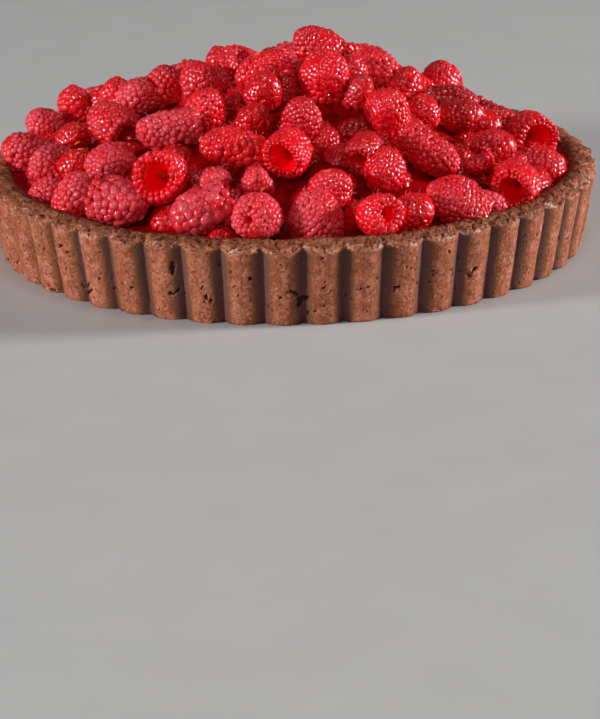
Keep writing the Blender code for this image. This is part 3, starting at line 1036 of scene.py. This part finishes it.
def add_core():
    """The juicy fruit under the berries."""
    radius = WALL_RADIUS * (np.arange(CORE_RINGS) + CORE_START) / (CORE_RINGS - 1)
    angle = turns(CORE_SIDES)
    r, a = np.meshgrid(np.minimum(radius, WALL_RADIUS), angle, indexing="ij")
    x, y = r * np.sin(a), -r * np.cos(a)
    z = core_height(x, y)
    flat = np.stack([x, y, z], -1).reshape(-1, 3)
    uneven = sum(size * noise_at(flat, scale) for size, scale in CORE_GRAINS)
    z = z + MM * uneven.reshape(z.shape)
    edge = smooth_step(WALL_RADIUS - r, 0, CORE_EDGE)
    first, second = (np.sin(count * a + start) for count, start in JUICE_WAVES)
    z = (JUICE_HEIGHT + JUICE_WAVE * first * second) * (1 - edge) + z * edge
    bottom = points_around(CORE_FOOT, angle, HEAP_LOW.z)
    centre = np.tile([[0.0, 0.0, HEAP_LOW.z]], (CORE_SIDES, 1))
    points = np.concatenate([np.stack([x, y, z], -1).reshape(-1, 3), bottom, centre])
    triangles = grid_triangles(CORE_RINGS + 2, CORE_SIDES)[:, ::-1]
    piece = add_piece("heap_core", points, triangles, core_material())
    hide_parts("raspberry_heap")


# --- small things on the berries


def hair(top, out, rng):
    """The points of a hair that leaves a bead's top and bends to a side."""
    side = unit(np.cross(out, rng.normal(0, 1, 3)))
    across = np.cross(out, side)
    length = rng.uniform(*HAIR_LENGTHS) * MM
    bend = rng.uniform(*HAIR_BENDS)
    share = np.linspace(0, 1, HAIR_STEPS)[:, None]
    climb = np.sin(bend * share) / bend * HAIR_CLIMB
    drift = (1 - np.cos(bend * share)) / bend
    spots = top - out * HAIR_ROOT + length * (out * climb + side * drift)
    turn = turns(HAIR_SIDES)[:, None]
    inwards = (np.cos(bend * share) * side - np.sin(bend * share) * out)[:, None]
    thick = (HAIR_RADIUS * (1 - HAIR_TAPER * share))[:, None]
    points = spots[:, None] + thick * (np.cos(turn) * across + np.sin(turn) * inwards)
    return points.reshape(-1, 3)


def add_hairs(kept, rng):
    """The fine hairs that some beads keep."""
    triangles = grid_triangles(HAIR_STEPS, HAIR_SIDES)
    hairs = []
    for _, tops, normals in kept:
        free = np.nonzero(tops[:, 2] > core_height(tops[:, 0], tops[:, 1]) + HAIR_CLEARANCE)[0]
        count = min(len(free), int(rng.integers(*HAIR_COUNTS)))
        for k in rng.choice(free, count, replace=False):
            points = hair(tops[k], normals[k], rng)
            tones = np.tile(HAIR, (len(points), 1)) * rng.uniform(*HAIR_SHADES)
            hairs.append((points, triangles, tones))
    add_joined("berry_hairs", hairs, toned_material("berry_hair", roughness=0.5))


def first_bead(across, down, kept):
    """The top of the bead, and the way out of it, where a pixel's ray meets the first berry."""
    start, way = pixel_ray(across, down)
    best = None
    for berry, tops, normals in kept:
        turn = berry.unit_axes()
        origin, step = (start - berry.place) @ turn, way @ turn
        a, b, c = step @ step, origin @ step, origin @ origin - 1
        if b * b < a * c:
            continue
        reach = (-b - math.sqrt(b * b - a * c)) / a
        if best is None or reach < best[0]:
            nearest = np.linalg.norm(tops - start - reach * way, axis=1).argmin()
            best = (reach, tops[nearest], normals[nearest])
    return None if best is None else best[1:]


def add_pips(kept):
    """Bare seeds that lie on the berries."""
    right, up, _ = np.array(picture_axes())
    dome, triangles = unit_bead(*FINE_BEAD)
    pips = []
    for across, down, turn in PIPS:
        met = first_bead(across, down, kept)
        if met is None:
            continue
        place, out = met
        along = way_in_picture(turn, right, up)
        along = unit(along - out * (along @ out))
        axes = np.stack([along, np.cross(out, along), out])
        pips.append((place + (dome * PIP_SIZE) @ axes, triangles, np.tile(PIP, (len(dome), 1))))
    add_joined("seeds", pips, toned_material("seed", roughness=0.4))


# --- shell


def worn(angle):
    """How worn the wall is at an angle from the front, from 0 to 1."""
    away = np.abs((angle - WORN_SIDE + math.pi) % (2 * math.pi) - math.pi)
    return 1 - smooth_step(away, *WORN_REACH)


def fluted_radius(angle, crown_radius, depth):
    """The outline of arcs that meet in sharp grooves."""
    depth = depth * (1 - WORN_DEPTH * worn(angle))
    pitch = 2 * math.pi / FLUTES
    along = ((angle - FIRST_GROOVE) / pitch) % 1.0
    half_width = crown_radius * pitch / 2
    arc_radius = (half_width**2 + depth**2) / (2 * depth)
    off_crown = (2 * along - 1) * half_width
    return crown_radius - arc_radius + np.sqrt(arc_radius**2 - off_crown**2)


def wall_crown(height):
    """The radius over the crowns of the flutes, and the flutes' depth, at a height."""
    share = height / EDGE_HEIGHT
    return between(BASE_RADIUS, EDGE_RADIUS, share), between(BASE_FLUTE_DEPTH, EDGE_FLUTE_DEPTH, share)


def crest_rise(angle):
    """Slow rise and fall of a hand-pressed rim."""
    waves = sum(np.sin(count * angle + start) for count, start in CREST_WAVES)
    return CREST_WAVE * waves / len(CREST_WAVES)


def shell_rows():
    """Rows around the shell: (crown radius, flute depth, height, share of the crest's wave)."""
    rows = [(0.0, 0.0, 0.0, 0.0), (UNDERSIDE_RADIUS, 0.0, 0.0, 0.0)]
    rows += [(BASE_RADIUS - inset, BASE_FLUTE_DEPTH, 0.0, 0.0) for inset in FOOT_INSETS]
    rows += [(*wall_crown(EDGE_HEIGHT * share), EDGE_HEIGHT * share, share) for share in WALL_SHARES]
    for angle in EDGE_ANGLES:
        crown = EDGE_RADIUS - EDGE_ROUNDING * (1 - math.cos(angle))
        rows.append((crown, EDGE_FLUTE_DEPTH, EDGE_HEIGHT - EDGE_ROUNDING * (1 - math.sin(angle)), 1.0))
    for share in CREST_SHARES:
        crown = between(EDGE_RADIUS - EDGE_ROUNDING, CREST_RADIUS, share)
        height = between(EDGE_HEIGHT, CREST_HEIGHT, math.sin(share * math.pi / 2))
        rows.append((crown, EDGE_FLUTE_DEPTH * (1 - share), height, 1.0))
    for share in SHOULDER_SHARES:
        crown = between(CREST_RADIUS, SHOULDER_RADIUS, math.sin(share * math.pi / 2))
        height = between(SHOULDER_HEIGHT, CREST_HEIGHT, math.cos(share * math.pi / 2))
        rows.append((crown, 0.0, height, 1.0))
    for share in INNER_SHARES:
        crown = between(SHOULDER_RADIUS, FLOOR_RADIUS, share)
        rows.append((crown, 0.0, between(SHOULDER_HEIGHT, FLOOR_HEIGHT, share), 1.0 - share))
    return rows + [(0.0, 0.0, FLOOR_HEIGHT, 0.0)]


def on_wall(across, down):
    """The point of the fluted wall that a pixel of the photograph shows."""

    def above(points):
        x, y, z = points.T
        outside = np.hypot(x, y) - fluted_radius(np.arctan2(x, -y), *wall_crown(z))
        return np.where((z < 0) | (z > EDGE_HEIGHT), 1.0, outside)

    return along_ray(across, down, above)


def seen_cracks(flat):
    """How deep each point lies in the cracks that the photograph shows, from 0 to 1."""
    right, up, back = np.array(picture_axes())
    deep = np.zeros(len(flat))
    for crack in (Crack(*row) for row in CRACKS):
        along = way_in_picture(crack.turn, right, up)
        half = max(crack.length - crack.width, SHORTEST_CRACK) / 2 * PIXEL
        away = flat - on_wall(crack.across, crack.down)
        near = np.linalg.norm(away, axis=1) < CRACK_REACH
        away = away[near] - (away[near] @ back)[:, None] * back
        reach = np.clip(away @ along, -half, half)
        gap = np.linalg.norm(away - reach[:, None] * along, axis=1)
        gap = gap + CRACK_FRAY * noise_at(flat[near], CRACK_GRAIN)
        width = crack.width / 2 * PIXEL
        crack_here = 1 - smooth_step(gap, *(edge * width for edge in CRACK_EDGE))
        deep[near] = np.maximum(deep[near], crack_here)
    return deep


def loose_pits(flat, rng):
    """How deep each point lies in small pits all around the wall, from 0 to 1."""
    deep = np.zeros(len(flat))
    x, y, z = flat.T
    angle_of, radius_of = np.arctan2(x, -y), np.hypot(x, y)
    for _ in range(PIT_GROUPS):
        group_angle = rng.uniform(-math.pi, math.pi)
        group_height = rng.uniform(*PIT_HEIGHTS) * MM
        for _ in range(rng.integers(*PIT_COUNTS)):
            angle = group_angle + rng.normal(0, PIT_SPREAD) / BASE_RADIUS
            height = group_height + rng.normal(0, PIT_SPREAD)
            size = rng.uniform(*PIT_SIZES)
            gap = np.hypot((angle_of - angle) * radius_of, (z - height) * rng.uniform(*PIT_SQUASH))
            near = (gap < PIT_REACH * size) & (radius_of > INNERMOST_PIT)
            pit = 1 - smooth_step(gap[near], *(edge * size for edge in PIT_EDGE))
            deep[near] = np.maximum(deep[near], pit)
    return deep


def roughened(flat, rng):
    """The shell's points moved like baked crumb, and tones (pit, rim, groove) for each: pit is painted
    near black as painted shade in holes, and groove is where painted shade darkens the flutes' grooves.
    """
    x, y, z = flat.T
    length = np.hypot(x, y)
    outward = np.column_stack([x, y, np.zeros(len(flat))]) / np.maximum(length, TINY)[:, None]
    grains = np.array([noise_at(flat, scale) for scale in GRAINS])
    side = smooth_step(length, *OUTER_SIDE)
    rim = smooth_step(z, *RIM_BAND) * side
    foot = 1 - smooth_step(z, *FOOT_BAND)
    pit = np.maximum(seen_cracks(flat), loose_pits(flat, rng)) * side
    crumbly = worn(np.arctan2(x, -y))
    parts = (np.ones(len(flat)), rim, foot, crumbly, crumbly * foot)
    move = sum(part * (relief @ grains) for part, relief in zip(parts, RELIEF))
    foot_chip, rim_chip, rim_drop = CHIPS
    chips = smooth_step(CHIP_GRAIN @ grains, *CHIP_LIMITS) * (foot_chip * foot + rim_chip * rim)
    moved = flat + outward * ((move - chips) * MM * side - pit * PIT_DEPTH)[:, None]
    moved[:, 2] += (RIM_LIFT @ grains - rim_drop * chips) * rim * MM * smooth_step(z, *LIFTED)
    crown, depth = wall_crown(np.minimum(z, EDGE_HEIGHT))
    # groove: how deep a point lies in its flute's groove, where painted shade goes, less of it towards
    # the left
    groove = np.clip((crown - length) / depth, 0, 1) * (1 - rim)
    groove *= between(LEFT_GROOVE_SHADE, 1, smooth_step(x, *GROOVE_SHADE_SPAN))
    top = smooth_step(z, *RIM_TOP) * side
    holed = LEAST_PIT * side * smooth_step(np.abs(x - HOLED_MIDDLE), *HOLED_SIDES)
    return moved, np.column_stack([np.maximum(pit, holed), (rim + top) / 2, groove])


def add_shell(rng):
    """The pastry shell with its grain, pits, cracks and uneven edges."""
    around = FLUTES * FLUTE_STEPS
    angle = FIRST_GROOVE + turns(around)
    rings = []
    for crown, depth, height, wave in shell_rows():
        fluted = depth > LEAST_FLUTE_DEPTH
        radius = fluted_radius(angle, crown, depth) if fluted else np.full(around, crown)
        rings.append(points_around(radius, angle, height + wave * crest_rise(angle)))
    points, tones = roughened(np.concatenate(rings), rng)
    triangles = grid_triangles(len(rings), around)
    piece = add_piece("crust", points, triangles, crust_material(), tones)
    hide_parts("pastry_shell")


# --- materials


class Nodes:
    """Short calls that add and join the nodes of one material."""

    def __init__(self, name):
        self.material = bpy.data.materials.new(name)
        self.material.use_nodes = True
        self.tree = self.material.node_tree
        self.shader = self.tree.nodes["Principled BSDF"]

    def add(self, kind, inputs=None, **settings):
        """A node with its settings, and inputs that are values or other nodes' outputs."""
        node = self.tree.nodes.new(kind)
        for name, value in settings.items():
            setattr(node, name, value)
        for name, value in (inputs or {}).items():
            self.put(node.inputs[name], value)
        return node

    def put(self, socket, value):
        """Sets a socket to a value or joins it to an output."""
        if isinstance(value, bpy.types.NodeSocket):
            self.tree.links.new(value, socket)
        else:
            socket.default_value = value

    def set(self, inputs):
        """Sets the shader's inputs and returns the material."""
        for name, value in inputs.items():
            self.put(self.shader.inputs[name], value)
        return self.material

    def tone(self):
        """The three values that each point of the mesh carries, as a colour."""
        return self.add("ShaderNodeAttribute", attribute_name="tone").outputs["Color"]

    def noise(self, scale, detail=3.0, roughness=0.55, upright=1.0):
        """Noise in the object's own metres, drawn out upwards where upright is below 1."""
        place = self.add("ShaderNodeTexCoord").outputs["Object"]
        if upright != 1.0:
            place = self.add("ShaderNodeMapping", {"Vector": place, "Scale": (1, 1, upright)}).outputs[0]
        values = {"Vector": place, "Scale": scale, "Detail": detail, "Roughness": roughness}
        return self.add("ShaderNodeTexNoise", values).outputs["Fac"]

    def mix(self, share, a, b, blend="MIX"):
        """A mix of two colours."""
        node = self.add("ShaderNodeMix", data_type="RGBA", blend_type=blend)
        a, b = (c if isinstance(c, bpy.types.NodeSocket) else (*c, 1.0) for c in (a, b))
        for place, value in ((0, share), (6, a), (7, b)):
            self.put(node.inputs[place], value)
        return node.outputs[2]

    def ramp(self, value, low, high, to_low=0.0, to_high=1.0):
        """A value from low to high, mapped and held within its limits."""
        limits = {"From Min": low, "From Max": high, "To Min": to_low, "To Max": to_high}
        return self.add("ShaderNodeMapRange", {"Value": value, **limits}).outputs["Result"]

    def spots(self, name):
        """One of the materials' noises within its limits."""
        grain, limits = SPOTS[name]
        return self.ramp(self.noise(*grain), *limits)

    def math(self, operation, a, b):
        """What an operation makes of two values."""
        return self.add("ShaderNodeMath", {0: a, 1: b}, operation=operation).outputs["Value"]

    def bump(self, height, distance, strength):
        """Relief of a given depth in metres."""
        inputs = {"Height": height, "Distance": distance, "Strength": strength}
        return self.add("ShaderNodeBump", inputs).outputs["Normal"]


def berry_material(kind):
    """Moist, translucent fruit with a pale bloom."""
    n = Nodes(f"raspberry_{kind}")
    tone = n.tone()
    gloss = (KINDS[kind].roughness + share for share in FRUIT_GLOSS)
    looks = {
        "Base Color": n.mix(n.spots("fruit"), n.mix(1.0, tone, MOTTLED_RED, "MULTIPLY"), tone),
        "Roughness": n.ramp(n.noise(GLOSS_GRAIN), *GLOSS_LIMITS, *gloss),
        "Coat Weight": KINDS[kind].coat,
        "Normal": n.bump(n.noise(*FRUIT_GRAIN), *FRUIT_BUMP),
    }
    return n.set({**looks, **BERRY_FINISH})


def core_material():
    """Dark juice and crushed fruit."""
    n = Nodes("raspberry_juice")
    looks = {
        "Base Color": n.mix(n.spots("juice"), JUICE_RED, THIN_JUICE_RED),
        "Roughness": n.spots("juice gloss"),
        "Normal": n.bump(n.noise(*JUICE_GRAIN), *JUICE_BUMP),
    }
    return n.set({**looks, **JUICE_FINISH})


def juice_stain(n):
    """How far juice has soaked into the inner side of the rim, from 0 to 1."""
    place = n.add("ShaderNodeTexCoord").outputs["Object"]
    flat = n.add("ShaderNodeVectorMath", {0: place, 1: (1, 1, 0)}, operation="MULTIPLY").outputs[0]
    radius = n.add("ShaderNodeVectorMath", {0: flat}, operation="LENGTH").outputs["Value"]
    return n.math("MULTIPLY", n.ramp(radius, *STAINED, 1.0, 0.0), n.spots("stain"))


def crumb_colour(n, groove):
    """Brown crumb in spots and streaks, with painted shade darkening the grooves between the flutes."""
    colour = PASTRY_MIDDLE
    for grain, limits, spot in CRUMB_SPOTS:
        colour = n.mix(n.ramp(n.noise(*grain), *limits), colour, spot)
    for limits, dark in GROOVE_SHADE_COLOURS:
        colour = n.mix(n.ramp(groove, *limits), colour, dark)
    return colour


def crust_holes(n, pit, rim):
    """Where the crust is broken, from 0 to 1: pits, small holes and crumbs, which are painted near black
    as painted shade.
    """
    rim_holes = n.math("MULTIPLY", n.spots("rim holes"), n.ramp(rim, *HOLED_RIM))
    crumbs = n.math("MULTIPLY", n.spots("crumbs"), n.ramp(pit, 0.0, LEAST_PIT))
    holes = n.math("MAXIMUM", n.math("MAXIMUM", n.spots("holes"), rim_holes), crumbs)
    return n.math("MAXIMUM", n.ramp(pit, *WHOLE_PIT), holes)


def crust_material():
    """Baked chocolate pastry: brown crumb with holes and grooves darkened by painted shade, a darker rim,
    and pale specks of crumb and painted highlight there.
    """
    n = Nodes("chocolate_crust")
    pit, rim, groove = n.add("ShaderNodeSeparateColor", {"Color": n.tone()}).outputs
    top = n.ramp(rim, *BAKED_RIM)
    baked = n.mix(n.spots("baked"), PASTRY_RIM, PASTRY_STREAK)
    colour = n.mix(n.math("MULTIPLY", top, n.spots("baked cover")), crumb_colour(n, groove), baked)
    colour = n.mix(juice_stain(n), colour, PASTRY_STAIN)
    # the rim's outer edge gets pale specks of painted highlight, fading into the grooves
    edge = n.math("SUBTRACT", n.ramp(rim, *RIM_HIGHLIGHT_EDGE), top)
    edge = n.math("MULTIPLY", edge, n.ramp(groove, *PALE_HIGHLIGHT_FLUTES))
    pale = n.math("MULTIPLY", n.spots("pale"), edge)
    holes = crust_holes(n, pit, rim)
    height = n.math("SUBTRACT", n.noise(*CRUST_GRAIN), n.math("MULTIPLY", holes, HOLE_DEPTH))
    return n.set(
        {
            "Base Color": n.mix(holes, n.mix(pale, colour, PASTRY_PALE_HIGHLIGHT), PIT_SHADE_BLACK),
            "Roughness": n.math("SUBTRACT", n.spots("crust gloss"), n.math("MULTIPLY", pale, MOIST)),
            "Specular IOR Level": 0.3,
            "Normal": n.bump(height, *CRUST_BUMP),
        }
    )


def toned_material(name, roughness):
    """The colour that each point of the mesh carries, slightly mottled."""
    n = Nodes(name)
    tone = n.tone()
    colour = n.mix(n.spots("small things"), n.mix(1.0, tone, MOTTLED, "MULTIPLY"), tone)
    return n.set({"Base Color": colour, "Roughness": roughness, "Specular IOR Level": 0.15})


def floor_material():
    """An even, pale and matt floor."""
    n = Nodes("floor")
    return n.set({"Base Color": n.mix(n.spots("floor"), *FLOOR_GREYS), "Roughness": 0.6})


# --- surroundings


def add_floor():
    """A plain pale floor."""
    corners = [(x * FLOOR_HALF, y * FLOOR_HALF, 0) for x, y in ((-1, -1), (1, -1), (1, 1), (-1, 1))]
    mesh = bpy.data.meshes.new("floor")
    mesh.from_pydata(corners, [], [(0, 1, 2, 3)])
    mesh.materials.append(floor_material())
    floor = add_object("floor", mesh)


def add_light(name, kind, way, power):
    """A light that shines a given way."""
    data = bpy.data.lights.new(name, kind)
    data.energy = power
    light = add_object(name, data)
    light.rotation_mode = "QUATERNION"
    light.rotation_quaternion = way.to_track_quat("-Z", "Y")
    return light


def add_surroundings():
    """A floor, soft square lights that face the tart, a weak and soft sun, and a dim world."""
    add_floor()
    for name, (place, size, power) in LIGHTS.items():
        light = add_light(name, "AREA", Vector(LIT_POINT) - Vector(place), power)
        light.location = place
        light.data.size = size
    add_light("above", "SUN", Vector(SUN_WAY), SUN_POWER).data.angle = SUN_ANGLE
    world = bpy.data.worlds.new("world")
    world.use_nodes = True
    world.node_tree.nodes["Background"].inputs["Color"].default_value = WORLD_COLOUR
    world.node_tree.nodes["Background"].inputs["Strength"].default_value = WORLD_STRENGTH
    bpy.context.scene.world = world
    bpy.context.scene.view_settings.view_transform = "Standard"


def main():
    """Builds the tart's looks around the frame."""
    rng = np.random.default_rng(SEED)
    add_camera()
    add_surroundings()
    kept = add_berries(all_berries(rng), rng)
    add_hairs(kept, rng)
    add_pips(kept)
    add_core()
    add_shell(rng)


main()
